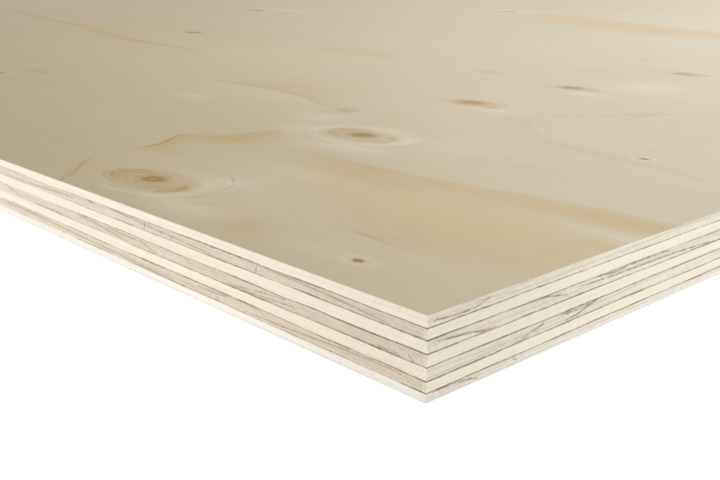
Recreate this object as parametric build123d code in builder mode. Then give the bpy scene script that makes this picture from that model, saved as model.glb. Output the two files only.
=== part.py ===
from build123d import *
import os

os.makedirs("parts", exist_ok=True)

# Plywood sheet lying flat: peeled veneers glued face to face, each with its grain across the one before.
# The origin is at the centre of the underside, +X runs along the grain of the face, +Z is up.

# Driving dimensions in millimetres
sheet_length = 2440.0
sheet_width = 1220.0
face_thickness = 2.3
back_thickness = 2.3
crossband_thickness = 2.68
longband_thickness = 2.68
arris_break = 0.3

# The core starts and ends with a crossband, whose grain runs along Y, with a longband, whose grain
# runs along X, between each two, so face and back share one grain direction and the sheet stays flat.
crossband_count = 3

# Layup from the back up, with the inner plies numbered from the face down
layup = [("back_veneer", back_thickness)]
for number in range(crossband_count, 0, -1):
    layup.append((f"crossband_{number}", crossband_thickness))
    if number > 1:
        layup.append((f"longband_{number - 1}", longband_thickness))
layup.append(("face_veneer", face_thickness))

# Each veneer is seated on the glue line of the one below it
glue_line = 0.0
for name, thickness in layup:
    with BuildPart() as veneer:
        with BuildSketch(Plane.XY.offset(glue_line)):
            Rectangle(sheet_length, sheet_width)
        extrude(amount=thickness)

        # Sanding eases the arrises of the two faces that show
        if name == "face_veneer":
            chamfer(veneer.faces().sort_by(Axis.Z)[-1].edges(), arris_break)
        elif name == "back_veneer":
            chamfer(veneer.faces().sort_by(Axis.Z)[0].edges(), arris_break)

    veneer.part.label = name
    export_step(veneer.part, f"parts/{name}.step")
    glue_line += thickness

print(f"Sheet of {len(layup)} veneers, {sheet_length:g} x {sheet_width:g} x {glue_line:g} mm")
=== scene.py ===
"""Looks of a plywood sheet lying flat: veneers with knotty sanded faces and sawn edges, on a pale floor.

Places on the sheet are in millimetres from the corner nearest the camera: along its length, towards -X,
and across its width, towards +Y. On the sawn edges the run is counted from the same corner, up the long
edge and, negative, up the short one. Blender's own units are metres.
"""
import math
from collections import namedtuple
from functools import reduce

import bpy
import numpy as np
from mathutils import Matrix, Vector


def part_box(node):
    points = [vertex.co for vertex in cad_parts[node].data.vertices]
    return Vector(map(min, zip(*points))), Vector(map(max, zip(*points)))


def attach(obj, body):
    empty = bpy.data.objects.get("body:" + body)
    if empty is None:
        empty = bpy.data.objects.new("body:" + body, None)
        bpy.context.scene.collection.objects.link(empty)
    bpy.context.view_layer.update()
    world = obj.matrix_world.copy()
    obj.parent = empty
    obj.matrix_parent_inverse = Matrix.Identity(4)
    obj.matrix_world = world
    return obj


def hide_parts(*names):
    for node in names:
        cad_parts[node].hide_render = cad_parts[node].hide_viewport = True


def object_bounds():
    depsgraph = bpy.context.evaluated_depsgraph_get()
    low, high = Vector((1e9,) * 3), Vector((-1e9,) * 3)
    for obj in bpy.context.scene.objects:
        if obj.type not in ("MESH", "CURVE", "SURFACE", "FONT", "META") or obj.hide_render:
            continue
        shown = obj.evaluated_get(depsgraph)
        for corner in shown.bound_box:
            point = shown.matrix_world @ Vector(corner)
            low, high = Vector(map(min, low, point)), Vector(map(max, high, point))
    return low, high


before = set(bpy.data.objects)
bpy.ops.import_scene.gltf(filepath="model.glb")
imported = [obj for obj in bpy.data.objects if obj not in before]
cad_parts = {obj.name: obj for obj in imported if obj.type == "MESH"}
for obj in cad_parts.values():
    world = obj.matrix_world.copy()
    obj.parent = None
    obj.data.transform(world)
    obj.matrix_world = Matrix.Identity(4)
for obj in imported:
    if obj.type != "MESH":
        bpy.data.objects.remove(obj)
cad_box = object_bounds()

MM = 0.001

# The veneers from the floor up, with the way their grain runs
VENEERS = {
    "back_veneer": "along",
    "crossband_3": "across",
    "longband_2": "along",
    "crossband_2": "across",
    "longband_1": "along",
    "crossband_1": "across",
    "face_veneer": "along",
}
FACE, BACK = "face_veneer", "back_veneer"

# The sheet's box and the eased arris of its faces
LOW, HIGH = (np.array(corner) / MM for corner in cad_box)
LENGTH, WIDTH = (HIGH - LOW)[:2]
ARRIS = 0.3

# The planes between the veneers, from the underside to the top
PLANES = [LOW[2]] + [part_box(name)[1].z / MM for name in VENEERS]

# Mesh spacing at the near corner, and how much it grows per millimetre from there
FIRST_STEP = 1.6
STEP_GROWTH = 0.0085

# How deep sanding has worn a face between its knots and away from its border, and how far a glue line
# strays from its plane. Near the corner each line also leans off its plane, from the lowest line up.
FACE_RELIEF = 0.12
RELIEF_BORDER = 12.0
GLUE_WANDER = 0.15
GLUE_LEAN = (-0.12, -0.24, -0.14, -0.1, 0.08, -0.08)
GLUE_LEAN_REACH = 250.0
SHEET_SEED = 11

# Distance given for what lies out of reach
FAR = 999.0


# Knots and stains

# A knot: its place, the half length of its brown zone, the share that its core takes, how dark and how
# red it is, and the direction in which its rings are boldest, in degrees from +X
Knot = namedtuple("Knot", "along across size core dark red heavy", defaults=(-40,))

# The row of knots near the short edge, the pin knots, and those further off that the camera sees
SEEN_KNOTS = [
    Knot(133.8, 22.2, 16, 0.21, 1.0, 0.75, 195),
    Knot(144.6, 117.3, 15, 0.33, 0.82, 0.0, 190),
    Knot(169, 208, 14, 0.4, 0.85, 0.9, 180),
    Knot(168, 282, 13, 0.4, 0.9, 0.3, 180),
    Knot(159, 375, 13, 0.4, 0.6, 0.6, 180),
    Knot(34, 13.7, 1.9, 0.8, 1.0, 0.8),
    Knot(50, 156.2, 1.9, 0.9, 1.0, 0.1),
    Knot(423, 96.5, 8, 0.45, 1.0, 0.4),
    Knot(588, 334, 14, 0.42, 1.0, 0.0),
    Knot(593, 759, 12, 0.5, 1.0, 0.2),
    Knot(804, 562, 17, 0.45, 1.0, 0.0),
]

# Arcs of rings round the two nearest knots: centre, half axes, the direction of the arc's middle from +X
# and half its spread in degrees, half width and strength
Arc = namedtuple("Arc", "along across half_along half_across heading spread width strength")
BROWN_ARCS = [
    Arc(133, 23.5, 26, 20, 75, 115, 0.55, 0.42),
    Arc(133, 23, 23.5, 17.8, 60, 70, 0.5, 0.15),
    Arc(133, 21, 21.5, 10.5, 195, 50, 0.9, 0.4),
    Arc(133, 21, 18.5, 9.2, 176, 42, 1.1, 0.75),
    Arc(133, 21, 15.0, 7.6, 165, 50, 0.8, 0.6),
    Arc(134.5, 21.5, 12, 6.0, 170, 50, 0.6, 0.5),
    Arc(133, 21.5, 20, 10.5, -80, 60, 0.6, 0.35),
    Arc(132.8, 21, 16.4, 9.8, -14, 34, 0.7, 0.85),
    Arc(131, 21, 24, 12.5, -20, 26, 0.5, 0.5),
    Arc(128, 21, 30, 13.5, -22, 18, 0.5, 0.4),
    Arc(143, 117, 17, 10.0, 205, 62, 1.3, 0.34),
    Arc(143, 117, 16.5, 9.5, 140, 50, 1.2, 0.28),
    Arc(143, 117, 17, 9.0, -70, 60, 1.0, 0.3),
    Arc(143, 117, 12.5, 7, 200, 60, 0.7, 0.3),
    Arc(142, 118, 25, 19, -25, 50, 0.6, 0.3),
    Arc(146, 118, 34, 22, 100, 62, 0.7, 0.32),
]
GOLD_ARCS = [
    Arc(132.8, 21, 14.4, 8.6, -6, 34, 1.8, 0.9),
    Arc(133, 21, 17, 9.0, 186, 66, 3.2, 0.55),
    Arc(143, 117, 15, 8.5, 190, 80, 2.6, 0.5),
    Arc(143, 117, 14.5, 8.5, -50, 60, 1.8, 0.35),
]
PALE_ARCS = [
    Arc(143, 117, 21, 13, -5, 50, 2.4, 0.45),
    Arc(143, 117, 22, 15, -100, 60, 2.6, 0.35),
    Arc(143, 117, 24, 15, 165, 75, 3.4, 0.4),
    Arc(131, 21.5, 19, 11.5, 20, 50, 3.0, 0.3),
    Arc(133, 21, 23, 13.5, -60, 50, 1.8, 0.35),
]

# The outline of the brown heart stain, which runs off the near short edge
HEART = [
    (-30, 93), (36, 90), (60, 87), (80, 84.5), (96, 84), (124, 82.5), (146, 86), (162, 95), (177, 102),
    (175, 92), (177, 83), (192, 70), (190, 64), (181, 54), (181, 42), (174, 37), (150, 34), (110, 44),
    (70, 30), (40, 27), (-30, 24),
]

# A resin streak, as places across and along
RESIN_STREAK = [(-8, 143), (-2, 149), (8.7, 159), (15.5, 167), (20.5, 173), (25, 177)]

# Thin stains, as places along and across, which taper to nothing at their ends: the edge of a darker
# island, the two sides of a pale tongue, three lines further off, and the tail of the heart's border
ISLAND_LINE = [
    (183, 148), (197, 151), (216, 156), (238, 164), (258, 168), (275, 169), (300, 168), (320, 166),
]
TONGUE_LOW = [(18, 141), (51, 150), (74, 153), (92, 159), (108, 171), (120, 183), (126, 196), (130, 212)]
TONGUE_HIGH = [(40, 292), (62, 266), (80, 255), (97, 240), (110, 220), (122, 204), (131, 196)]
BROWN_LINE = [
    (440, 253), (484, 255), (546, 259), (588, 266), (633, 276), (716, 301), (776, 313), (863, 327),
    (960, 349), (1060, 370),
]
ORANGE_LINE = [(215, 600), (255, 650), (294, 673), (345, 685), (418, 721), (474, 749), (560, 775)]
TAN_LINE = [(322, 139), (333, 134), (351, 135), (383, 146), (428, 165)]
TAIL_LINE = [(175, 42), (178, 39), (183, 34), (189, 30), (195, 28), (204, 24)]

# The share of a line over which each of its ends tapers
LINE_TAPER = 0.22

# Soft patches of stain, and two of painted light among the pale ones: along, across, half length, half
# width and strength. Those of the heart stop sharply at its outline, and the others lie anywhere.
HEART_BROWN = [
    (188, 67, 5, 6, 0.6), (181, 53, 5, 8, 0.7), (184, 57, 4, 7, 0.35), (171, 90, 7, 9, 0.3),
    (46, 29, 10, 2.5, 0.3), (20, 88, 60, 3, 0.15),
]
HEART_GOLD = [
    (172, 88, 12, 14, 0.5), (170, 75, 10, 7, 0.5), (184, 62, 9, 12, 0.35), (178, 48, 10, 12, 0.3),
    (104, 74, 22, 13, 0.3), (84, 66, 30, 18, 0.31), (60, 52, 34, 20, 0.28), (22, 54, 40, 16, 0.32),
    (26, 38, 32, 11, 0.2), (38, 71, 22, 6, 0.2), (6, 84, 42, 6.5, 0.75), (60, 82, 34, 7, 0.4),
    (110, 82, 26, 6, 0.25),
]
HEART_PALE = [(-2, 71, 15, 3.2, 0.45), (16, 73, 12, 1.5, 0.2)]
BROWN = [
    (131, 119.6, 2.6, 1.8, 0.8), (154, 203, 4, 3, 0.55), (154, 280, 5, 3, 0.35), (149, 372, 5, 4, 0.3),
    (98, 234, 6, 7, 0.2), (192, 152, 5, 6, 0.4), (416, 117, 12, 5, 0.4), (216, 428, 4, 4, 0.35),
    (206, 439, 3, 3, 0.3), (143.5, 18, 1.8, 1.4, 0.4),
]
GOLD = [
    (570, 258, 32, 11, 0.5), (655, 283, 44, 12, 0.35), (372, 325, 40, 16, 0.3), (203, 349, 14, 9, 0.3),
    (238, 302, 12, 7, 0.45), (470, 675, 45, 30, 0.3), (380, 655, 50, 26, 0.3), (310, 620, 55, 30, 0.3),
    (640, 745, 40, 18, 0.3), (268, 186, 34, 13, 0.25), (75, 12, 7, 6, 0.35), (160, 207, 18, 12, 0.25),
    (160, 279, 18, 12, 0.2), (158, 375, 20, 14, 0.2), (122, 180, 12, 16, 0.2), (60, 152, 40, 6, 0.12),
    (655, 845, 60, 24, 0.3), (721, 313, 45, 14, 0.3), (2, 63, 9, 3, 0.35), (34, 56, 30, 12, 0.15),
    (166.5, 24.3, 7, 2.2, 0.3), (108, 22.3, 4, 1.8, 0.4), (131.6, 26, 3, 1.8, 0.4),
    (156, 113, 5, 4, 0.4), (181, 206, 7, 5, 0.3), (179, 279, 7, 5, 0.25),
]
PALE = [
    (148, 198, 9, 5, 0.5), (150, 268, 10, 5, 0.4), (126, 29, 5, 3.5, 0.4), (144, 131, 12, 6, 0.35),
    (46, 12, 12, 6, 0.22), (140, 300, 20, 26, 0.2), (145, 315, 16, 14, 0.25), (105, 125, 26, 18, 0.2),
    (185, 132, 10, 9, 0.35), (112, 60, 18, 8, 0.2), (113, 36, 7, 6, 0.4), (101, 11, 16, 7, 0.45),
    (780, 590, 50, 16, 0.2), (600, 775, 50, 14, 0.25), (250, 155, 40, 9, 0.15), (140, 95, 14, 5, 0.25),
    (172, 110, 11, 9, 0.35), (127, 100, 16, 6, 0.5), (127, 122, 7, 6, 0.35), (274, 128, 12, 5, 0.3),
    # The last two are painted light, which lightens the near face
    (110, 38, 50, 26, 0.2), (60, 60, 45, 30, 0.15),
]

# The attributes of the face that hold these patches and lines, three in each
STAIN_AND_PAINTED_LIGHT_PATCHES = {"heart_marks": (HEART_BROWN, HEART_GOLD, HEART_PALE), "marks": (BROWN, GOLD, PALE)}
STAIN_LINES = {
    "near_lines": (ISLAND_LINE, TONGUE_LOW, TONGUE_HIGH),
    "far_lines": (BROWN_LINE, ORANGE_LINE, TAN_LINE),
}

# Two mild painted shades darken the face towards the camera's left and further off: how far each moves
# along with a millimetre across, where it starts and how far it takes to grow. The left one starts
# softly, and both fade towards the far end, which the camera doesn't show.
LEFT_SHADE_SLOPE, LEFT_SHADE_START, LEFT_SHADE_REACH = 1.3, -10.0, 230.0
LEFT_SHADE_SOFTNESS = 0.35
FAR_SHADE_SLOPE, FAR_SHADE_START, FAR_SHADE_REACH = -0.25, 450.0, 1000.0
FAR_SHADE_MOST = 0.6
SHADES_END, SHADES_FADE = 2600.0, 1500.0

# A painted shade at the left border of the camera's view: how far it moves along with a millimetre
# across, where it starts and is full, between which places along the sheet it fades away, and its
# strength
BORDER_SLOPE = 2.24
BORDER_SHADE = (40.0, 190.0)
BORDER_FADE = (1500.0, 400.0)
BORDER_DARKENS = 0.05

# Random knots: the first row's place and how far apart the rows are, how far apart the knots of a row
# are and how large, and how many pin knots lie between
FIRST_WHORL, WHORL_SPACING = 160, 430
KNOT_SPACING = (75, 250)
KNOT_SIZES = (8, 17)
PIN_KNOTS = 26

# What the picture shows of the face: the bearings from the camera, in degrees from the sheet's length,
# and how far off it ends, counted along and by this share across
SEEN_BEARINGS = (21, 64)
SEEN_END, SEEN_END_ACROSS = 1680, 0.92

# How far apart the growth rings lie on a face, on average
RING_SPACING = 26


def ripples(seed, along, across, count=16):
    """A smooth random height, mostly between -1 and 1, whose swells have those sizes in millimetres."""
    random = np.random.default_rng(seed)
    turns = random.normal(0, 2.2, (count, 2)) / (along, across)
    starts = random.uniform(0, 2 * math.pi, count)

    def height(points):
        waves = points @ turns.T + starts
        return np.sin(waves).sum(1) / math.sqrt(2 * count)

    return height


def rounded(corners):
    """The closed line through these corners with its bends cut twice, which leaves them round."""
    points = np.array(corners, float)
    for _ in range(2):
        after = np.roll(points, -1, axis=0)
        points = np.stack([0.75 * points + 0.25 * after, 0.25 * points + 0.75 * after], 1).reshape(-1, 2)
    return points


def depth_inside(points, corners):
    """Signed distance to a rounded outline, positive inside it."""
    starts = rounded(corners)
    ends = np.roll(starts, -1, axis=0)
    nearest = np.full(len(points), np.inf)
    inside = np.zeros(len(points), bool)
    for (ax, ay), (bx, by) in zip(starts, ends):
        step = np.array((bx - ax, by - ay))
        gone = points - (ax, ay)
        share = np.clip(gone @ step / (step @ step), 0, 1)
        nearest = np.minimum(nearest, np.hypot(*(gone - share[:, None] * step).T))
        if ay != by:
            passes = (ay > points[:, 1]) != (by > points[:, 1])
            inside ^= passes & (points[:, 0] < ax + (points[:, 1] - ay) * (bx - ax) / (by - ay))
    return np.where(inside, nearest, -nearest)


def height_over(places, heights, line):
    """How far each height lies above a line, given by its points. It grows towards the line's ends, so
    that what is drawn with it tapers to nothing, and beyond them it is FAR."""
    line_places, line_heights = np.array(sorted(line)).T
    over = heights - np.interp(places, line_places, line_heights)
    start, end = line_places[0], line_places[-1]
    to_end = np.minimum(places - start, end - places) / (LINE_TAPER * (end - start))
    return np.where(to_end > 0, over / np.clip(to_end, 0.02, 1) ** 0.5, FAR)


def painted(points, patches):
    """The strength of some soft patches, added up."""
    total = np.zeros(len(points))
    for along, across, half_along, half_across, strength in patches:
        reach = ((points[:, 0] - along) / half_along) ** 2 + ((points[:, 1] - across) / half_across) ** 2
        total += strength * np.exp(-reach)
    return total


def camera_sees(along, across):
    """Whether the picture shows this point of the sheet, where all knots are listed one by one."""
    bearing = math.degrees(math.atan2(across - CAMERA_FROM_CORNER[1], along + CAMERA_FROM_CORNER[0]))
    first, last = SEEN_BEARINGS
    return first < bearing < last and along + SEEN_END_ACROSS * across < SEEN_END


def scattered_knots(seed, keep_clear):
    """Rows of knots across the sheet, as far apart as the whorls of branches on the log, and pins."""
    random = np.random.default_rng(seed)
    found = []
    for row in np.arange(FIRST_WHORL, LENGTH, WHORL_SPACING):
        across = random.uniform(30, 150)
        while across < WIDTH - 15:
            along = row + random.normal(0, 32)
            size = random.uniform(*KNOT_SIZES)
            core, dark, red = random.uniform((0.35, 0.6, 0.1), (0.55, 1.0, 0.8))
            found.append(Knot(along, across, size, core, dark, red, random.uniform(-180, 180)))
            across += random.uniform(*KNOT_SPACING)
    for _ in range(PIN_KNOTS):
        along, across = random.uniform(20, (LENGTH - 20, WIDTH - 20))
        size, dark, red = random.uniform((1.6, 0.7, 0), (3.2, 1, 0.6))
        found.append(Knot(along, across, size, 0.8, dark, red))
    return [k for k in found if not (keep_clear and camera_sees(k.along, k.across))]


def knot_attributes(points, knots):
    """The way from the nearest knot, whether a point lies in that knot's field, and the knot's form and
    mood. The fields end before they meet."""
    table = np.array(knots)
    spread = np.hypot(points[:, None, 0] - table[:, 0], points[:, None, 1] - table[:, 1])
    nearest = np.argmin(spread / (8 + table[:, 2]), axis=1)
    own = table[nearest]
    east, north = own[:, 0] - points[:, 0], points[:, 1] - own[:, 1]
    field = 2.3 * own[:, 2] + 3
    here = np.clip((field - np.hypot(east, 1.6 * north)) / (0.3 * field), 0, 1)
    heavy = np.radians(own[:, 6])
    return {
        "from_knot": np.column_stack([east, north, here]),
        "knot_form": own[:, 2:5],
        "knot_mood": np.column_stack([own[:, 5], np.cos(heavy), np.sin(heavy)]),
    }


def grain_phase(points, knots, seed):
    """How many growth rings lie between each point and the near long edge. They bend round the knots."""
    phase = points[:, 1] / RING_SPACING
    phase += 4.5 * ripples(seed, 900, 190)(points) + 1.3 * ripples(seed + 1, 260, 60)(points)
    for k in knots:
        if k.size > 4:
            reach = np.hypot(points[:, 0] - k.along, 1.7 * (points[:, 1] - k.across))
            phase += 2.6 * np.exp(-reach / (1.7 * k.size))
    return phase


def painted_face_shades(along, across):
    """How strongly the painted shades darken the face towards the left and further off."""
    fade = np.clip((SHADES_END - along) / SHADES_FADE, 0, 1)
    left = np.clip(along - LEFT_SHADE_SLOPE * across - LEFT_SHADE_START, 0, None) / LEFT_SHADE_REACH
    left = left ** 2 / (left + LEFT_SHADE_SOFTNESS)
    far = (along - FAR_SHADE_SLOPE * across - FAR_SHADE_START) / FAR_SHADE_REACH
    return fade * (1 - np.exp(-left)), fade * np.clip(far, 0, FAR_SHADE_MOST)


def face_attributes(points, knots, seed, stains_and_painted_light):
    """What the sanded face's material reads at each point. The back has no stains and no shade."""
    values = knot_attributes(points, knots)
    streak = painted_left_shade = np.zeros(len(points))
    if stains_and_painted_light:
        along, across = points.T
        painted_left_shade, painted_far_shade = painted_face_shades(along, across)
        streak = height_over(across, along, RESIN_STREAK)
        heart, tail = depth_inside(points, HEART), height_over(along, across, TAIL_LINE)
        # The heart's third number is the painted far shade
        values["heart"] = np.column_stack([heart, tail, painted_far_shade])
        for name, patches in STAIN_AND_PAINTED_LIGHT_PATCHES.items():
            values[name] = np.column_stack([painted(points, colour) for colour in patches])
        for name, lines in STAIN_LINES.items():
            values[name] = np.column_stack([height_over(along, across, line) for line in lines])
    # The third number of the rings is the painted left shade
    values["rings"] = np.column_stack([grain_phase(points, knots, seed), streak, painted_left_shade])
    return values


# Sawn edges

# Late-wood rings and dirt lines of the near edges, drawn as run and height. Each goes to one of three
# lanes in turn, and those of one lane don't overlap along the run.
EDGE_LINES = {
    "face_veneer": [
        [(-19.8, 17.8), (-17, 17.1), (-14.5, 16.2), (-8.6, 16.1), (-3.7, 16.4), (0, 16.7)],
    ],
    "crossband_1": [
        [(8, 13.4), (30, 14.6), (62, 15.7)],
        [(64, 13.2), (98, 14.3), (126, 15.6)],
        [(140, 14.6), (170, 13.6), (196, 13.2)],
    ],
    "longband_1": [
        [(-20.7, 10.3), (-15.9, 10.5), (-12.8, 11.2), (-8.4, 11.6), (-0.5, 12.3)],
        [(-46, 11.2), (-42.5, 11.6), (-37.1, 12.6), (-32.4, 13.0)],
        [(-88, 12.7), (-70.5, 12.6), (-62.9, 12.3), (-52.3, 13.0)],
        [(-110, 10.6), (-86, 11.3), (-60, 11.6), (-47, 12.1)],
    ],
    "crossband_2": [
        [(110.6, 7.7), (115, 8.1), (121.4, 8.4), (128.9, 9.2), (143, 9.7)],
        [(94.9, 7.8), (98.6, 8.0), (104.3, 9.3), (113, 9.2), (125, 9.7)],
        [(178.1, 7.9), (186.6, 9.4), (193, 9.9)],
        [(37.9, 8.9), (49.4, 8.0), (60.9, 7.5), (70, 7.3)],
        [(41.4, 9.9), (56.8, 8.4), (65.2, 7.6)],
        [(6.8, 7.75), (10, 7.85), (13.6, 7.7)],
        [(80, 8.8), (82.5, 9.6), (88, 9.9)],
        [(142, 7.8), (150, 7.7), (159, 7.8), (169, 7.5)],
    ],
    "longband_2": [
        [(-38.2, 7.4), (-35.9, 6.4), (-31.3, 5.8), (-27.5, 4.7)],
        [(-63.5, 7.6), (-57.2, 7.3), (-52.4, 6.4), (-48.7, 5.4), (-42.6, 4.9)],
        [(-55.9, 7.0), (-48.5, 6.8), (-41, 6.9)],
    ],
    "crossband_3": [
        [(50, 4.1), (56, 4.5), (63, 4.7), (69.6, 3.9), (80, 3.6)],
        [(88, 2.5), (120, 2.9), (150, 3.4), (178, 4.1), (188, 4.6)],
        [(6, 4.2), (22, 3.8), (44, 2.8), (60, 2.5)],
        [(160, 3.2), (174, 3.7), (187, 3.7), (197, 4.0)],
    ],
    "back_veneer": [
        [(-16, 0.6), (-13.4, 1.1), (-8.9, 1.6), (-4.5, 1.8), (-1, 1.7)],
    ],
}

# Open cracks of the near edges, from one run and height to another, and how wide they are
CRACKS = [
    ((130.4, 15.3), (132.9, 15.5), 0.34),
    ((101.9, 15.2), (102.7, 13.3), 0.2),
    ((93.9, 14.6), (94.7, 13.2), 0.15),
    ((88.8, 14.5), (89.3, 13.5), 0.15),
    ((53.3, 15.1), (53.8, 13.3), 0.16),
    ((129.4, 9.4), (128.2, 7.7), 0.14),
    ((4.9, 8.8), (3.5, 7.6), 0.16),
    ((8.0, 8.2), (7.2, 7.5), 0.16),
    ((13.5, 8.1), (13.0, 7.4), 0.2),
    ((69.9, 3.3), (69.3, 2.3), 0.18),
    ((-26.3, 1.8), (-27.7, 0.9), 0.14),
]

# Orange and brown spots of the near edges: run, height, half length, half height and strength
SPOTS = [
    (-17.5, 10.7, 2.6, 0.4, 0.8), (-29.3, 5.1, 2.2, 0.35, 0.7), (-5.5, 1.8, 1.6, 0.4, 0.5),
    (-12, 1.4, 3.5, 0.4, 0.4), (-34.5, 12.7, 3, 0.4, 0.4), (148, 3.4, 4, 0.4, 0.4),
    (169, 4.6, 9, 0.4, 0.4), (82, 3.2, 2.5, 0.6, 0.3), (-8.6, 16.2, 0.9, 0.5, 0.8),
]


# Meshes

# The material slots of a piece, of which an inner veneer has the first three
SIDE_SLOT, END_SLOT, GLUED_SLOT, SANDED_SLOT = range(4)

# The share of the map's width and height that the hidden sides take up, in its corner
HIDDEN_ON_MAP = 0.02


def put_in_scene(name, data):
    made = bpy.data.objects.new(name, data)
    bpy.context.scene.collection.objects.link(made)
    return made


def graded(length):
    """Places from 0 to the length, closest together at 0."""
    reach = math.log1p(STEP_GROWTH * length / FIRST_STEP)
    steps = np.linspace(0, reach, math.ceil(reach / STEP_GROWTH) + 1)
    return np.expm1(steps) * FIRST_STEP / STEP_GROWTH


ALONG, ACROSS = graded(LENGTH), graded(WIDTH)


def grid_points(inset=0.0):
    """The grid's points, with the outermost rows moved in by the inset."""
    along = np.clip(ALONG, inset, LENGTH - inset)
    across = np.clip(ACROSS, inset, WIDTH - inset)
    return np.stack(np.meshgrid(along, across, indexing="ij"), -1).reshape(-1, 2)


def rim_numbers():
    """Numbers of the grid's outermost points, from the near corner up the long edge and on round."""
    number = np.arange(len(ALONG) * len(ACROSS)).reshape(len(ALONG), len(ACROSS))
    return np.concatenate([number[:-1, 0], number[-1, :-1], number[:0:-1, -1], number[0, :0:-1]])


RIM = rim_numbers()
RIM_POINTS = grid_points()[RIM]
LONG_STEPS, SHORT_STEPS = len(ALONG) - 1, len(ACROSS) - 1
ON_LONG_EDGE = np.repeat([True, False, True, False], [LONG_STEPS, SHORT_STEPS, LONG_STEPS, SHORT_STEPS])


def glue_height(number, points):
    """Height of a glue line round the sheet: 0 is the underside, and the last one is the top."""
    if number in (0, len(VENEERS)):
        return np.full(len(points), PLANES[number])
    long_swell = ripples(SHEET_SEED + number, 60, 60)(points)
    short_swell = ripples(SHEET_SEED + 20 + number, 11, 11)(points)
    lean = GLUE_LEAN[number - 1] * np.exp(-points.sum(1) / GLUE_LEAN_REACH)
    return PLANES[number] + lean + GLUE_WANDER * (0.6 * long_swell + 0.4 * short_swell)


class Piece:
    """A mesh in the making: its points in sheet millimetres, and the map that its finish is baked on."""

    def __init__(self, name):
        self.name = name
        self.points = np.empty((0, 2))
        self.heights = np.empty(0)
        self.faces = []
        self.slots = []
        self.on_map = []

    def add(self, points, heights):
        """Adds points at these heights and returns their numbers."""
        first = len(self.points)
        self.points = np.vstack([self.points, points])
        self.heights = np.append(self.heights, np.broadcast_to(heights, len(points)))
        return np.arange(first, len(self.points))

    def fill(self, corners, slot, on_map):
        """Adds faces: their corner numbers, their material slot, and each corner's place on the map."""
        self.faces += corners.tolist()
        self.slots += np.broadcast_to(slot, len(corners)).tolist()
        self.on_map.append(np.asarray(on_map, float).reshape(-1, 2))

    def sheet(self, numbers, slot, low, high, upwards):
        """Joins the grid's points by faces, spread evenly between two places on the map."""
        n = numbers.reshape(len(ALONG), len(ACROSS))
        corners = np.stack([n[:-1, :-1], n[:-1, 1:], n[1:, 1:], n[1:, :-1]], -1).reshape(-1, 4)
        steps = np.stack(np.meshgrid(range(LONG_STEPS), range(SHORT_STEPS), indexing="ij"), -1)
        turns = [(0, 0), (0, 1), (1, 1), (1, 0)]
        shares = (steps.reshape(-1, 1, 2) + turns) / (LONG_STEPS, SHORT_STEPS)
        on_map = np.array(low) + shares * (np.array(high) - low)
        if not upwards:
            corners, on_map = corners[:, ::-1], on_map[:, ::-1]
        self.fill(corners, slot, on_map)

    def band(self, low_ring, high_ring, slot, area, rows):
        """Joins two rings by faces, in rows inside an area of the map: left, bottom, width, height."""
        columns = np.arange(len(low_ring))
        per_row = math.ceil(len(columns) / rows)
        left, bottom, width, height = area
        u = left + width * (columns % per_row) / per_row
        v = bottom + height * (columns // per_row + 0.1) / rows
        wide, tall = width / per_row, 0.8 * height / rows
        corners = np.column_stack([np.roll(low_ring, -1), low_ring, high_ring, np.roll(high_ring, -1)])
        turns = [(wide, 0), (0, 0), (0, tall), (wide, tall)]
        self.fill(corners, slot, np.stack([np.column_stack([u + du, v + dv]) for du, dv in turns], 1))

    def cap(self, ring, height, upwards):
        """Closes a ring by a fan of faces, where another veneer hides them."""
        middle = self.add(np.array([[LENGTH / 2, WIDTH / 2]]), height)
        centre = np.full(len(ring), middle[0])
        after = np.roll(ring, -1)
        corners = np.column_stack([after, ring, centre] if upwards else [ring, after, centre])
        on_map = self.points[corners.ravel()] / (LENGTH, WIDTH) * HIDDEN_ON_MAP
        self.fill(corners, GLUED_SLOT, on_map)

    def finish(self, materials, attributes):
        mesh = bpy.data.meshes.new(self.name)
        x = HIGH[0] - self.points[:, 0]
        y = LOW[1] + self.points[:, 1]
        mesh.from_pydata(np.column_stack([x, y, self.heights]) * MM, [], self.faces)
        for material in materials:
            mesh.materials.append(material)
        mesh.polygons.foreach_set("material_index", self.slots)
        for name, values in attributes.items():
            layer = mesh.attributes.new(name, "FLOAT_VECTOR", "POINT")
            layer.data.foreach_set("vector", values.astype(np.float32).ravel())
        on_map = mesh.uv_layers.new(name="OFBake")
        on_map.uv.foreach_set("vector", np.vstack(self.on_map).astype(np.float32).ravel())
        mesh.update()
        return put_in_scene(self.name, mesh)


def edge_attributes(piece, name):
    """What the sawn edges' materials read at each point of a veneer."""
    number = list(VENEERS).index(name)
    low, high = glue_height(number, piece.points), glue_height(number + 1, piece.points)
    below = piece.heights - low + (FAR if name == BACK else 0)
    above = high - piece.heights + (FAR if name == FACE else 0)
    along, across = piece.points.T
    near = (along <= ARRIS) | (across <= ARRIS)
    far_sides = [across > WIDTH - 1, along > LENGTH - 1]
    run = np.select(far_sides, [along - WIDTH, LENGTH - across], along - across)
    wandering = []
    for lane in range(3):
        size = 75 - 15 * lane
        swell = ripples(SHEET_SEED + 60 + 10 * number + lane, size, size)(piece.points)
        wandering.append(piece.heights - low - (high - low) * (0.5 + 0.75 * swell))
    drawn = np.full((len(run), 3), FAR)
    for order, line in enumerate(EDGE_LINES.get(name, [])):
        over = np.where(near, height_over(run, piece.heights, line), FAR)
        drawn[:, order % 3] = np.where(over < FAR / 2, over, drawn[:, order % 3])
    return {
        "edge": np.column_stack([run, below, above]),
        "veneer": np.column_stack([run * 0 + 37 * number, run * 0 + (VENEERS[name] == "along"), near]),
        "wandering_rings": np.column_stack(wandering),
        "drawn_rings": drawn,
    }


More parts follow.
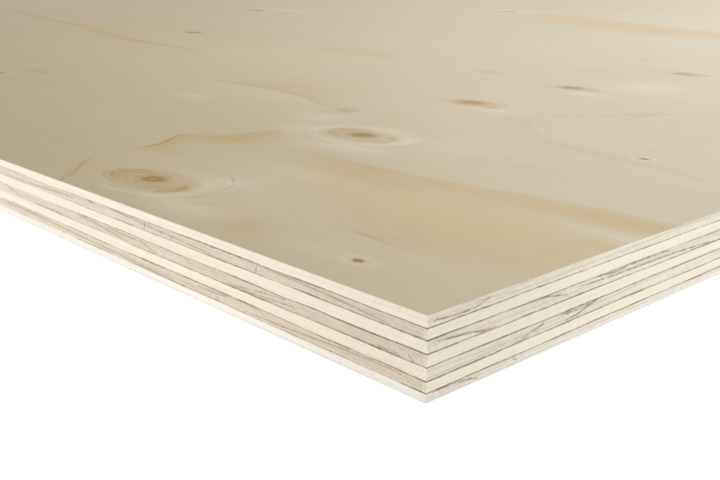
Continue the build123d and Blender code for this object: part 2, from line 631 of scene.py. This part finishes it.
def inner_veneer(name, materials):
    """An inner veneer: only its sawn edges show, between two wandering glue lines."""
    number = list(VENEERS).index(name)
    piece = Piece(name + "_sawn")
    low = piece.add(RIM_POINTS, glue_height(number, RIM_POINTS))
    high = piece.add(RIM_POINTS, glue_height(number + 1, RIM_POINTS))
    side_grain = ON_LONG_EDGE == (VENEERS[name] == "along")
    edge_slots = np.where(side_grain, SIDE_SLOT, END_SLOT)
    piece.band(low, high, edge_slots, area=(0, 0.03, 1, 0.97), rows=18)
    piece.cap(low, PLANES[number], upwards=False)
    piece.cap(high, PLANES[number + 1], upwards=True)
    return piece.finish(materials, edge_attributes(piece, name))


def outer_veneer(name, materials, knots, seed, stains_and_painted_light):
    """The face or the back: a grid of fine relief, an eased arris, sawn edges and a hidden side."""
    number = list(VENEERS).index(name)
    on_top = name == FACE
    seam, outside, inward = (number, PLANES[-1], -1) if on_top else (number + 1, PLANES[0], 1)
    piece = Piece(name + "_sanded")
    points = grid_points(ARRIS)
    relief = 0.5 + 0.5 * ripples(seed + 5, 120, 22)(points)
    for k in knots:
        reach = np.hypot(points[:, 0] - k.along, 1.6 * (points[:, 1] - k.across))
        relief *= 1 - np.exp(-((reach / (1.2 * k.size)) ** 2))
    margin = np.minimum(points, (LENGTH, WIDTH) - points).min(1)
    relief = FACE_RELIEF * np.clip(relief, 0, 1) * np.clip((margin - ARRIS) / RELIEF_BORDER, 0, 1)
    grid = piece.add(points, outside + inward * relief)
    rim = piece.add(RIM_POINTS, outside + inward * ARRIS)
    inner = piece.add(RIM_POINTS, glue_height(seam, RIM_POINTS))
    piece.sheet(grid, SANDED_SLOT, low=(0, 0.1), high=(1, 1), upwards=on_top)
    edge_slots = np.where(ON_LONG_EDGE, SIDE_SLOT, END_SLOT)
    rings, areas = [inner, rim, grid[RIM]], [(0, 0.02, 1, 0.08), (0, 0.0, 1, 0.012)]
    if not on_top:
        rings, areas = rings[::-1], areas[::-1]
    for low, high, area in zip(rings, rings[1:], areas):
        piece.band(low, high, edge_slots, area, rows=8)
    piece.cap(inner, PLANES[seam], upwards=not on_top)
    attributes = face_attributes(piece.points, knots, seed, stains_and_painted_light) | edge_attributes(piece, name)
    return piece.finish(materials, attributes)


# Materials

# Colours of the sanded face as they look, from 0 to 255
TAN = (194, 179, 149)
TAN_DARK = (187, 171, 137)
TAN_PALE = (208, 195, 168)
LILAC = (194, 177, 150)
OLIVE = (184, 171, 124)
RING_BROWN = (170, 144, 98)
STAIN_BROWN = (156, 124, 62)
STAIN_RED = (182, 148, 100)
STAIN_GOLD = (184, 149, 82)
STAIN_YELLOW = (188, 159, 84)
# Pale stains, and the painted light of two broad pale patches
PALE_STAIN_AND_PAINTED_LIGHT = (214, 203, 180)
LINE_TAN = (180, 154, 112)
# Painted shade: the colours that darken the face towards the left and further off
PAINTED_LEFT_SHADE = (156, 140, 92)
PAINTED_FAR_SHADE = (159, 147, 124)
RESIN = (146, 108, 40)
KNOT_ZONE = (178, 148, 92)
KNOT_RED = (180, 145, 86)
KNOT_GLOW = (166, 132, 70)
KNOT_CORE = (136, 108, 30)
KNOT_DARK = (122, 96, 20)
KNOT_CORE_RED = (140, 100, 34)
KNOT_GOLD = (176, 138, 60)
KNOT_HALO = (210, 194, 166)
ARC_GOLD = (172, 138, 66)

# The face's sheen, and the dull sawn edges
FACE_ROUGHNESS = 0.5
FACE_SPECULAR = 0.1
EDGE_ROUGHNESS = 0.75
END_GRAIN_ROUGHNESS = 0.8

# Colours of the sawn edges
CREAM = (248, 241, 224)
CREAM_LONG = (255, 248, 234)
# Painted shade: the long edge's cream is a little darker near the corner
SHADED_CREAM_LONG_NEAR = (255, 244, 228)
CREAM_DARK = (236, 221, 193)
END_GRAIN = (237, 226, 210)
END_GRAIN_DARK = (217, 200, 178)
END_GRAIN_LONG = (239, 231, 216)
END_GRAIN_LONG_DARK = (217, 205, 182)
RING_LINE = (142, 128, 90)
GLUE = (114, 95, 58)
CHECK = (96, 74, 54)
SPOT = (192, 156, 108)
# Painted light on the lowest wood of the edges, as if from the white floor
PAINTED_FLOOR_LIGHT = (252, 248, 238)
HIDDEN_WOOD = (205, 188, 158)


# How far a seed moves the noise on, and the gain that brings it to about -1 to 1
SEED_STEPS = (7.31, 3.17, 5.53)
NOISE_GAIN = 3.2


def paint(colour):
    """A colour as Blender takes it."""
    shares = [part / 255 for part in colour]
    linear = [s / 12.92 if s <= 0.04045 else ((s + 0.055) / 1.055) ** 2.4 for s in shares]
    return (*linear, 1.0)


def math_method(operation, swapped=False):
    """A method that adds one Math node."""
    def method(number, *others):
        values = (*others, number) if swapped else (number, *others)
        return number.recipe.math(operation, *values)

    return method


class Num:
    """A number that varies over a surface, with arithmetic that adds Math nodes to its recipe."""

    def __init__(self, recipe, socket):
        self.recipe = recipe
        self.socket = socket

    __add__ = __radd__ = math_method("ADD")
    __sub__ = math_method("SUBTRACT")
    __rsub__ = math_method("SUBTRACT", swapped=True)
    __mul__ = __rmul__ = math_method("MULTIPLY")
    __truediv__ = math_method("DIVIDE")
    __pow__ = math_method("POWER")
    __abs__ = math_method("ABSOLUTE")
    least = math_method("MINIMUM")
    most = math_method("MAXIMUM")
    after_point = math_method("FRACT")

    def ramp(self, start, end):
        """Rises smoothly from 0 at the start to 1 at the end, which may be the lower one."""
        node = self.recipe.node("MapRange", self, start, end, interpolation_type="SMOOTHSTEP")
        return Num(self.recipe, node.outputs["Result"])

    def line(self, at, half_width):
        """1 where the number is that value, and 0 beyond the half width."""
        return abs(self - at).ramp(half_width, 0)


class Recipe:
    """A material or the world in the making: one shader, and the nodes that feed it."""

    def __init__(self, name, world=None):
        self.made = world or bpy.data.materials.new(name)
        self.made.use_nodes = True
        self.tree = self.made.node_tree
        self.shader = self.tree.nodes["Background" if world else "Principled BSDF"]

    def node(self, kind, *values, **settings):
        """Adds a shader node of this kind, with values for its first inputs."""
        made = self.tree.nodes.new("ShaderNode" + kind)
        for name, value in settings.items():
            setattr(made, name, value)
        for socket, value in zip(made.inputs, values):
            self.feed(socket, value)
        return made

    def set(self, **inputs):
        """Feeds some of the shader's inputs, named with _ for a space."""
        for name, value in inputs.items():
            self.feed(self.shader.inputs[name.replace("_", " ")], value)

    def feed(self, socket, value):
        if isinstance(value, Num):
            value = value.socket
        if isinstance(value, bpy.types.NodeSocket):
            self.tree.links.new(value, socket)
        else:
            socket.default_value = value

    def math(self, operation, *values):
        return Num(self, self.node("Math", *values, operation=operation).outputs[0])

    def place(self):
        """Where a point lies in the part's frame, in millimetres."""
        coordinates = self.node("TexCoord")
        return self.scaled(coordinates.outputs["Object"], 1 / MM)

    def attribute(self, name):
        """The three numbers that an attribute of the mesh holds."""
        return self.split(self.node("Attribute", attribute_name=name).outputs["Vector"])

    def split(self, vector):
        return [Num(self, socket) for socket in self.node("SeparateXYZ", vector).outputs]

    def join(self, x, y, z):
        return self.node("CombineXYZ", x, y, z).outputs[0]

    def scaled(self, vector, factor):
        node = self.node("VectorMath", vector, operation="SCALE")
        self.feed(node.inputs["Scale"], factor)
        return node.outputs["Vector"]

    def noise(self, vector, sizes, seed=0.0, detail=2.0):
        """Smooth noise from about -1 to 1, whose blotches have these sizes in millimetres."""
        scale = [1 / size for size in sizes]
        shift = [seed * step for step in SEED_STEPS]
        moved = self.node("VectorMath", vector, scale, shift, operation="MULTIPLY_ADD")
        texture = self.node("TexNoise", moved.outputs[0])
        texture.inputs["Scale"].default_value = 1.0
        texture.inputs["Detail"].default_value = detail
        return (Num(self, texture.outputs["Fac"]) - 0.5) * NOISE_GAIN

    def mix(self, share, first, second):
        """A colour between two, each a colour as it looks or another mix."""
        node = self.node("Mix", share, data_type="RGBA", clamp_factor=True)
        for socket, colour in ((node.inputs[6], first), (node.inputs[7], second)):
            self.feed(socket, paint(colour) if isinstance(colour, tuple) else colour)
        return node.outputs[2]

    def layers(self, colour, *layers):
        """The colour under some layers, given from the lowest up by their share and colour."""
        for share, over in layers:
            colour = self.mix(share, colour, over)
        return colour

    def finish(self, colour, roughness, height, depth):
        """Feeds the shader, with a bump of this height whose depth is in millimetres."""
        bump = self.node("Bump")
        bump.inputs["Distance"].default_value = depth * MM
        self.feed(bump.inputs["Height"], height)
        self.set(Base_Color=colour, Roughness=roughness, Normal=bump.outputs[0])
        return self.made


def wood_tone_and_painted_shade(r, place, seed):
    """The tone of clean wood: drifts and streaks along the grain, growth rings dark on one side, and a
    painted shade.
    """
    phase, _, painted_left_shade = r.attribute("rings")
    drift = r.noise(place, (520, 95, 95), seed, 3)
    streaks = r.noise(place, (260, 15, 15), seed + 1, 3)
    clouds = r.noise(place, (70, 34, 34), seed + 10, 1)
    tints = r.noise(place, (30, 14, 14), seed + 11, 1)
    ring = (phase + streaks * 0.05).after_point()
    late_wood = ring.ramp(0.45, 0.93) * ring.ramp(1.0, 0.93)
    ring_show = r.noise(place, (150, 40, 40), seed + 4, 1).ramp(-0.3, 1.1)
    return r.layers(
        r.mix(drift * 0.45 + 0.35, TAN, TAN_DARK),
        ((streaks * 0.6 + clouds * 0.4).ramp(0.2, 1.4) * 0.6, TAN_PALE),
        (tints.ramp(0.0, 1.3) * 0.5, LILAC),
        (tints.ramp(0.0, -1.3) * 0.5, OLIVE),
        (late_wood * ring_show * 0.14, RING_BROWN),
        # Painted shade, darker towards the left
        (painted_left_shade * 0.62, PAINTED_LEFT_SHADE),
    )


def stains_and_painted_light(r, place, colour, seed):
    """Stains over the wood, some ending sharply at an outline, some soft, some thin lines, and painted
    shade and light.
    """
    _, streak, _ = r.attribute("rings")
    heart, tail, painted_far_shade = r.attribute("heart")
    heart_brown, heart_gold, heart_pale = r.attribute("heart_marks")
    _, gold, pale = r.attribute("marks")
    island, tongue_low, tongue_high = r.attribute("near_lines")
    brown_line, orange_line, tan_line = r.attribute("far_lines")
    ragged = r.noise(place, (7, 2.5, 2.5), seed + 6) * 0.7
    fray = 1 + r.noise(place, (18, 6, 6), seed + 7) * 0.25
    wave = r.noise(place, (60, 12, 12), seed + 12) * 2.5

    # Painted shade: the wood is made a little darker towards the left border of the view, and further
    # off
    x, y, _ = r.split(place)
    along, across = x * -1 + HIGH[0], y - LOW[1]
    border = (along - across * BORDER_SLOPE).ramp(*BORDER_SHADE) * along.ramp(*BORDER_FADE)
    colour = r.mix(painted_far_shade * 0.88, r.scaled(colour, 1 - border * BORDER_DARKENS), PAINTED_FAR_SHADE)

    # The heart has a thin dark line where its brown parts meet the clean wood
    in_heart = (heart + ragged * 1.8).ramp(-1.2, 1.8) * fray
    gold_tone = r.mix(heart.ramp(12, 22), STAIN_GOLD, STAIN_YELLOW)
    heart_line = (heart + ragged * 0.5).line(0.5, 1.3) * (heart_brown * 1.5).least(0.9)
    colour = r.layers(
        colour,
        ((in_heart * heart_gold + gold * fray).least(1.0), gold_tone),
        (in_heart * heart_brown * 0.6, STAIN_RED),
        (heart_line, STAIN_BROWN),
        ((tail + ragged * 0.5).line(0.0, 1.0) * fray * 0.3, STAIN_BROWN),
        # The pale patches include two of painted light
        (in_heart * heart_pale + pale * fray, PALE_STAIN_AND_PAINTED_LIGHT),
    )

    # Thin stains of the near wood, then of the far wood, whose lines end sooner on the side further off
    island, brown_line, orange_line = island + ragged, brown_line + wave, orange_line + wave
    colour = r.layers(
        colour,
        (island.ramp(-1.5, 0.5) * island.ramp(24, 3) * fray * 0.26, LINE_TAN),
        (island.line(1.2, 3.5) * fray * 0.16, STAIN_BROWN),
        (abs(tongue_low + ragged * 2).ramp(6, 0.5) * fray * 0.3, LINE_TAN),
        (abs(tongue_high + ragged * 2).ramp(8, 1) * fray * 0.24, LINE_TAN),
        (brown_line.ramp(7, 1) * brown_line.ramp(-13, 0) * fray * 0.34, STAIN_BROWN),
        (orange_line.ramp(6, -20) * orange_line.ramp(-105, -35) * fray * 0.42, STAIN_GOLD),
        (abs(tan_line + wave * 0.5).ramp(4.5, 1) * fray * 0.3, LINE_TAN),
    )

    # The resin streak, a golden band with a dark line in it
    patchy = r.noise(place, (9, 9, 9), seed + 16, 1) * 0.3 + 0.8
    streak = streak + r.noise(place, (3.5, 3.5, 3.5), seed + 17) * 0.7
    golden = (streak.line(0.4, 3.8) * patchy * 0.4, STAIN_GOLD)
    return r.layers(colour, golden, (streak.line(0.0, 1.1) * patchy * 0.55, RESIN))


def arcs_shown(r, place, arcs, seed):
    """How strongly some arcs show: each is a piece of an ellipse, bent a little by noise."""
    x, y, _ = r.split(place)
    x = x + r.noise(place, (9, 6, 6), seed + 8) * 0.7
    y = y + r.noise(place, (11, 7, 7), seed + 9) * 0.6
    patchy = r.noise(place, (7, 5, 5), seed + 14).ramp(-1.1, 0.4)
    lines = []
    for arc in arcs:
        east = (x - (HIGH[0] - arc.along)) / arc.half_along
        north = (y - (LOW[1] + arc.across)) / arc.half_across
        reach = (east * east + north * north + 0.0001) ** 0.5
        heading = math.radians(arc.heading)
        facing = (east * math.cos(heading) + north * math.sin(heading)) / reach
        end = math.cos(math.radians(arc.spread))
        width = arc.width * 2 / (arc.half_along + arc.half_across)
        lines.append(reach.line(1.0, width) * facing.ramp(end, end * 0.5 + 0.5) * arc.strength)
    return reduce(Num.most, lines) * (patchy * 0.6 + 0.4)


def knotted(r, place, wood, seed):
    """Knots: an irregular zone of broken rings that fades outwards, and a dark core towards its left."""
    x, y, here = r.attribute("from_knot")
    size, core, dark = r.attribute("knot_form")
    red, heavy_x, heavy_y = r.attribute("knot_mood")
    big = size.ramp(3.5, 7)
    x = x + r.noise(place, (15, 11, 11), seed + 8) * big * 1.3
    y = y + r.noise(place, (13, 9, 9), seed + 9) * big * 0.9
    fine = r.noise(place, (4, 2.5, 2.5), seed + 13) * 0.5
    reach = (x * x + y * y * 2.0) ** 0.5
    zone_x = x - size * 0.15
    zone_reach = (zone_x * zone_x + y * y * 2.8) ** 0.5 + fine * 0.8
    out = zone_reach / size
    side = (x * heavy_x + y * 1.7 * heavy_y) / (reach + 0.01) * 0.5 + 0.5
    blotches = r.noise(place, (9, 5, 5), seed + 15)

    # A faint pale halo, mostly on the right, and round a pin knot a small one on all sides
    halo = out.ramp(1.9, 1.35) * out.ramp(0.95, 1.25) * (zone_x / size).ramp(-1.2, 1.2)
    pin_halo = out.ramp(4.5, 2.2) * out.ramp(1.5, 2.2) * (1 - big)

    # The zone, with rings that are dark on their outer side and broken here and there
    zone = out.ramp(1.3, 0.75) * big * dark * (blotches * 0.2 + red * 0.25 + 0.24)
    ring = (zone_reach / 3.4 + blotches * 0.12).after_point()
    rings = ring.ramp(0.25, 0.9) * ring.ramp(1.0, 0.92) * out.ramp(1.15, 0.6)
    rings = rings * (side * 0.5 + 0.2 + blotches * 0.4).most(0.0).least(1.0) * big

    # The core: golden brown and darkest in its middle, but golden there in a red knot with a small core
    centre = (reach + fine * 1.2) / (size * core)
    colour = r.layers(
        wood,
        (halo * 0.25 * big, KNOT_HALO),
        (zone, r.mix(red, KNOT_ZONE, KNOT_RED)),
        (rings * dark * 0.5, STAIN_BROWN),
        (centre.ramp(2.3, 0.9) * dark * 0.75 * big, KNOT_GLOW),
        (centre.ramp(1.25, 0.75) * dark * 0.9, r.mix(red, KNOT_CORE, KNOT_CORE_RED)),
        (centre.ramp(0.75, 0.3) * dark * (1 - red) * 0.55, KNOT_DARK),
        (centre.ramp(0.7, 0.3) * core.ramp(0.36, 0.26) * big * red, KNOT_GOLD),
        (pin_halo * 0.5, KNOT_HALO),
    )
    return r.mix(here, wood, colour)


def sanded_face(name, seed, with_stains_and_painted_light):
    """Peeled softwood, sanded: clean wood, stains with painted shade and light, knots and fine fibres,
    with a faint sheen.
    """
    r = Recipe(name)
    place = r.place()
    colour = wood_tone_and_painted_shade(r, place, seed)
    if with_stains_and_painted_light:
        colour = stains_and_painted_light(r, place, colour, seed)
    colour = knotted(r, place, colour, seed)
    if with_stains_and_painted_light:
        for arcs, tone in ((PALE_ARCS, PALE_STAIN_AND_PAINTED_LIGHT), (GOLD_ARCS, ARC_GOLD), (BROWN_ARCS, STAIN_BROWN)):
            colour = r.mix(arcs_shown(r, place, arcs, seed), colour, tone)
        colour = r.mix(r.attribute("marks")[0], colour, STAIN_BROWN)
    fibres = r.noise(place, (34, 1.1, 1.1), seed + 2, 3)
    flecks = r.noise(place, (9, 2.2, 2.2), seed + 3, 2)
    bands = r.noise(place, (110, 6, 6), seed + 18, 3)
    colour = r.scaled(colour, 1 + fibres * 0.036 + flecks * 0.026 + bands * 0.02)
    r.set(Specular_IOR_Level=FACE_SPECULAR)
    return r.finish(colour, FACE_ROUGHNESS + fibres * 0.03, fibres * 0.5 + flecks * 0.3, depth=0.04)


class Edge:
    """What the two materials of the sawn edges share: where a point lies, and the marks on the wood."""

    def __init__(self, r):
        self.r = r
        self.run, self.below, self.above = r.attribute("edge")
        self.seed, self.along, self.near = r.attribute("veneer")
        self.height = r.split(r.place())[2]
        self.place = r.join(self.run, self.below, self.seed)

    def noise(self, sizes, seed, detail=2.0):
        """Noise whose blotches have these sizes along the run and up the veneer."""
        return self.r.noise(self.place, (*sizes, 1), seed, detail)

    def glue(self):
        """How strongly a glue line shows: heavy here, broken there, and faint far up the long edge."""
        nearest = self.below.least(self.above)
        stretches = self.noise((22, 30), 2, 3)
        breaks = self.noise((1.6, 1.2), 1, 3)
        width = breaks * 0.07 + stretches.ramp(-0.3, 1.0) * 0.2 + 0.2
        fading = self.run.ramp(-5.0, 20.0) * 0.14 + self.run.ramp(20.0, 220.0) * 0.4
        strength = stretches * 0.6 + breaks * 0.4 + 0.76 - fading
        return nearest.ramp(width, width * 0.2) * strength.most(0.0).least(0.97)

    def rings(self):
        """How strongly late wood shows: broken lines, crisp on one side and fading on the other, and
        bolder in the veneers whose grain runs along the sheet."""
        lines = []
        for name, width, strength in (("wandering_rings", 0.4, 0.32), ("drawn_rings", 0.75, 1.1)):
            for number, over in enumerate(self.r.attribute(name)):
                over = over + self.noise((6, 9), 20 + number) * 0.06
                line = over.ramp(-0.12, 0.05) * over.ramp(width, 0.08)
                lines.append(line * self.noise((2.5, 1), 24 + number, 3).ramp(-1.2, 0.4) * strength)
        return reduce(Num.most, lines) * (self.along * 0.35 + 0.65)

    def spots(self):
        """How strongly the orange spots show."""
        total = 0
        for run, height, half_run, half_height, strength in SPOTS:
            x = (self.run - run) / half_run
            y = (self.height - height) / half_height
            total = (x * x + y * y).ramp(2.4, 0.0) * strength + total
        return total * self.near

    def cracks(self):
        """How strongly the open cracks show."""
        lines = []
        for start, end, width in CRACKS:
            step = (end[0] - start[0], end[1] - start[1])
            gone_x, gone_y = self.run - start[0], self.height - start[1]
            share = (gone_x * step[0] + gone_y * step[1]) / (step[0] ** 2 + step[1] ** 2)
            share = share.most(0.0).least(1.0)
            x, y = gone_x - share * step[0], gone_y - share * step[1]
            lines.append((x * x + y * y).ramp(width ** 2, (width * 0.3) ** 2))
        return reduce(Num.most, lines) * self.near

    def tone(self):
        """A factor on the wood's colour: a little less beside the near corner, which is painted shade.
        """
        far = abs(self.run)
        tone = far.ramp(5.0, 80.0) * 0.1 + far.ramp(60.0, 300.0) * 0.03 + 0.86
        return tone + self.noise((60, 9), 30, 1) * 0.02

    def marked(self, colour, rings):
        """The colour with all marks over it. Painted light from the white floor makes the lowest wood
        paler, and a painted highlight runs up the near corner.
        """
        colour = self.r.layers(
            colour,
            # Painted light from the white floor on the lowest wood
            (self.height.ramp(2.9, 0.8) * (self.run.ramp(-5, 5) * 0.4 + 0.5), PAINTED_FLOOR_LIGHT),
            # A painted highlight up the near corner
            (self.run.line(0.5, 0.9) * self.near * 0.5, CREAM),
            (rings, RING_LINE),
            (self.spots() * 0.5, SPOT),
            (self.glue(), GLUE),
            (self.cracks() * 0.6, CHECK),
        )
        return self.r.scaled(colour, self.tone())


def side_grain():
    """A sawn edge along the grain: pale, with fine lines along it, specks and slanting saw marks."""
    r = Recipe("side_grain")
    edge = Edge(r)
    lines = edge.noise((45, 0.28), 3, 3)
    drift = edge.noise((70, 2.5), 4)
    specks = edge.noise((0.9, 0.5), 14, 3)
    saw = r.noise(r.join(edge.run + edge.below * 0.7, edge.below, edge.seed), (0.45, 5, 1), 5, 2)
    # Painted shade: the long edge is a little darker near the corner
    cream = r.mix(abs(edge.run).ramp(200.0, 30.0), CREAM_LONG, SHADED_CREAM_LONG_NEAR)
    cream = r.mix(edge.along, CREAM, cream)
    colour = r.mix(lines * 0.16 + drift * 0.2 + specks * 0.3 + 0.24, cream, CREAM_DARK)
    colour = edge.marked(r.scaled(colour, saw * 0.05 + specks * 0.035 + 1), edge.rings() * 0.3)
    return r.finish(colour, EDGE_ROUGHNESS, lines * 0.4 + saw * 0.6 + specks * 0.5, depth=0.07)


def end_grain():
    """A sawn edge across the grain: greyer, with ring lines, cells, saw marks and lathe checks."""
    r = Recipe("end_grain")
    edge = Edge(r)
    mottle = edge.noise((1.1, 0.5), 6, 3)
    drift = edge.noise((22, 2.2), 7)
    hatch = r.noise(r.join(edge.run - edge.below * 1.2, edge.below, edge.seed), (0.5, 3.5, 1), 12, 3)
    lean = edge.run + edge.below * 0.5 + edge.noise((3, 0.8), 10) * 0.5
    checks = (lean / 11).after_point().line(0.5, 0.012) * edge.noise((15, 1.6), 11, 1).ramp(0.3, 0.9)
    dark = 0.62 - edge.along * 0.3 - abs(edge.run).ramp(20.0, 170.0) * (edge.along * 0.12 + 0.22)
    pale_wood = r.mix(edge.along, END_GRAIN, END_GRAIN_LONG)
    dark_wood = r.mix(edge.along, END_GRAIN_DARK, END_GRAIN_LONG_DARK)
    colour = r.mix(mottle * 0.55 + drift * 0.3 + dark, pale_wood, dark_wood)
    colour = r.mix(checks * 0.4, r.scaled(colour, hatch * 0.09 + mottle * 0.05 + 1), CHECK)
    rings = edge.rings()
    colour = edge.marked(colour, rings * 0.85)
    height = mottle * 0.5 + hatch * 0.5 - rings * 0.5 - checks
    return r.finish(colour, END_GRAIN_ROUGHNESS, height, depth=0.08)


def glued_side():
    """The glued sides that no one sees."""
    r = Recipe("glued_side")
    r.set(Base_Color=paint(HIDDEN_WOOD), Roughness=END_GRAIN_ROUGHNESS)
    return r.made


# The sheet

def make_sheet():
    edges = [side_grain(), end_grain(), glued_side()]
    face_knots = SEEN_KNOTS + scattered_knots(SHEET_SEED, keep_clear=True)
    back_knots = scattered_knots(SHEET_SEED + 1, keep_clear=False)
    face = sanded_face("sanded_face", seed=0, with_stains_and_painted_light=True)
    back = sanded_face("sanded_back", seed=40, with_stains_and_painted_light=False)
    pieces = {
        FACE: outer_veneer(FACE, [*edges, face], face_knots, seed=3, stains_and_painted_light=True),
        BACK: outer_veneer(BACK, [*edges, back], back_knots, seed=8, stains_and_painted_light=False),
    }
    for name in VENEERS:
        if name not in pieces:
            pieces[name] = inner_veneer(name, edges)
    for name, piece in pieces.items():
        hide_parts(name)
        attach(piece, "root")


# Stage, lights and camera

# The floor's size and its gap below the sheet, in metres, its grey, and the light added where it is seen
FLOOR_SIZE = 30.0
FLOOR_GAP = 0.0003
FLOOR_GREY = (0.8, 0.8, 0.8, 1)
FLOOR_LIFT = 0.5

# The light from all round, which still shows as white
WHITE = (1, 1, 1, 1)
WORLD_STRENGTH = 0.4

# The key light's strength, its direction from the sheet and how wide it looks, in degrees
KEY_STRENGTH = 2.48
KEY_FROM = (0.646, -0.654, 0.395)
KEY_WIDTH = 35

# Two softboxes behind the sheet, for the sheen of the face: their places from the near corner's foot, in
# metres, and their power
REAR_LAMPS = [((-1.406, 3.863, 1.830), 25.0), ((-2.212, 3.160, 2.318), 42.0)]
REAR_SIZE = 1.2

# The near corner's foot, and the camera's place from there, where it looks and its lens
NEAR_CORNER = np.array([HIGH[0], LOW[1], LOW[2]])
CAMERA_FROM_CORNER = (114.9, -123.4, 83.5)
CAMERA_HEADING = 137.27
CAMERA_DOWN = 16.72
CAMERA_LENS = 48.07


def picture_rays(r):
    """1 for rays that show the surroundings: seen, mirrored or refracted."""
    path = r.node("LightPath")
    kinds = [Num(r, path.outputs[f"Is {kind} Ray"]) for kind in ("Camera", "Glossy", "Transmission")]
    return reduce(Num.most, kinds)


def make_world():
    """A plain light from all round, which shows as white."""
    world = bpy.data.worlds.new("studio")
    bpy.context.scene.world = world
    r = Recipe("studio", world)
    r.set(Color=WHITE, Strength=picture_rays(r) * (1 - WORLD_STRENGTH) + WORLD_STRENGTH)


def make_floor():
    """A white floor that keeps the sheet's shadow: what it lacks to white is added where it is seen."""
    bpy.ops.mesh.primitive_plane_add(size=FLOOR_SIZE, location=(0, 0, -FLOOR_GAP))
    floor = bpy.context.object
    floor.name = "floor"
    r = Recipe("floor")
    r.set(Base_Color=FLOOR_GREY, Roughness=1.0, Specular_IOR_Level=0.0)
    r.set(Emission_Color=WHITE, Emission_Strength=picture_rays(r) * FLOOR_LIFT)
    floor.data.materials.append(r.made)


def make_lights():
    key = bpy.data.lights.new("key", "SUN")
    key.energy = KEY_STRENGTH
    key.angle = math.radians(KEY_WIDTH)
    x, y, z = KEY_FROM
    put_in_scene("key", key).rotation_euler = (0, math.acos(z), math.atan2(y, x))
    for from_corner, power in REAR_LAMPS:
        softbox = bpy.data.lights.new("rear", "AREA")
        softbox.size = REAR_SIZE
        softbox.energy = power
        lamp = put_in_scene("rear", softbox)
        lamp.location = Vector(NEAR_CORNER * MM) + Vector(from_corner)
        lamp.rotation_euler = Vector(from_corner).to_track_quat("Z", "Y").to_euler()
        lamp.visible_camera = False


def make_camera():
    lens = bpy.data.cameras.new("camera")
    lens.lens = CAMERA_LENS
    lens.clip_start = 0.005
    camera = put_in_scene("camera", lens)
    camera.location = (NEAR_CORNER + CAMERA_FROM_CORNER) * MM
    camera.rotation_euler = (math.radians(90 - CAMERA_DOWN), 0, math.radians(CAMERA_HEADING - 90))
    bpy.context.scene.camera = camera


make_sheet()
make_world()
make_floor()
make_lights()
make_camera()
bpy.context.scene.view_settings.view_transform = "Standard"
